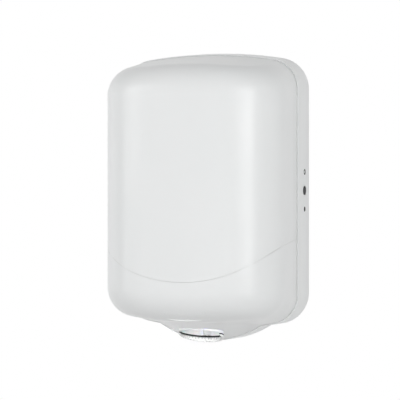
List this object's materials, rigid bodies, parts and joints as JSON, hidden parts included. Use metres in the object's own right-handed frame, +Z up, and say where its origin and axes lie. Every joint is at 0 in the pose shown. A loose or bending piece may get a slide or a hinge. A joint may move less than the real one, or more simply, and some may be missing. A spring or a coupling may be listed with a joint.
{
  "type": "centre-pull roll towel dispenser",
  "caption": "Wall-mounted white plastic roll towel dispenser with a rounded hinged cover, side key lock and a toothed paper outlet in a dome below.",
  "frame": {"origin": "centre of the four wall screw holes on the mounting face, level with the key lock", "axes": "+Z up, the cover faces -Y, the wall is the plane y = 0, +X to the right seen from the front"},
  "size_m": [0.2496, 0.19, 0.393],
  "materials": {
    "white_abs": "satin gloss",
    "white_funnel": "satin",
    "white_ring": "satin",
    "shelf_plastic": "fine grain",
    "black_rubber": "matt",
    "steel": "ground",
    "zinc_steel": "zinc plated",
    "lock_metal": "dark nickel"
  },
  "bodies": {
    "housing": {"back_housing": "white_abs", "hinge_pins": "steel", "roll_shelf": "shelf_plastic", "left_shelf_bracket": "shelf_plastic", "right_shelf_bracket": "shelf_plastic", "bracket_screws": "zinc_steel", "shelf_screws": "zinc_steel", "lock_case": "lock_metal", "lock_nut": "lock_metal", "lock_washer": "lock_metal"},
    "cover": {"upper_cover": "white_abs", "lower_cover": "white_abs", "cover_screws": "zinc_steel", "outlet_funnel": "white_funnel", "grip_ring": "black_rubber", "tear_ring": "white_ring", "outlet_screws": "zinc_steel", "strike_plate": "zinc_steel", "strike_screws": "zinc_steel"},
    "lock": {"lock_barrel": "lock_metal", "lock_cam": "zinc_steel", "cam_screw": "zinc_steel"}
  },
  "joints": [
    {"name": "cover_hinge", "type": "hinge", "parent": "housing", "child": "cover", "pos_m": [-0.12, -0.05, 0], "axis": [0, 0, -1], "range_deg": [0, 95]},
    {"name": "lock_turn", "type": "hinge", "parent": "housing", "child": "lock", "pos_m": [0.12, -0.02, 0], "axis": [-1, 0, 0], "range_deg": [0, 90]}
  ]
}
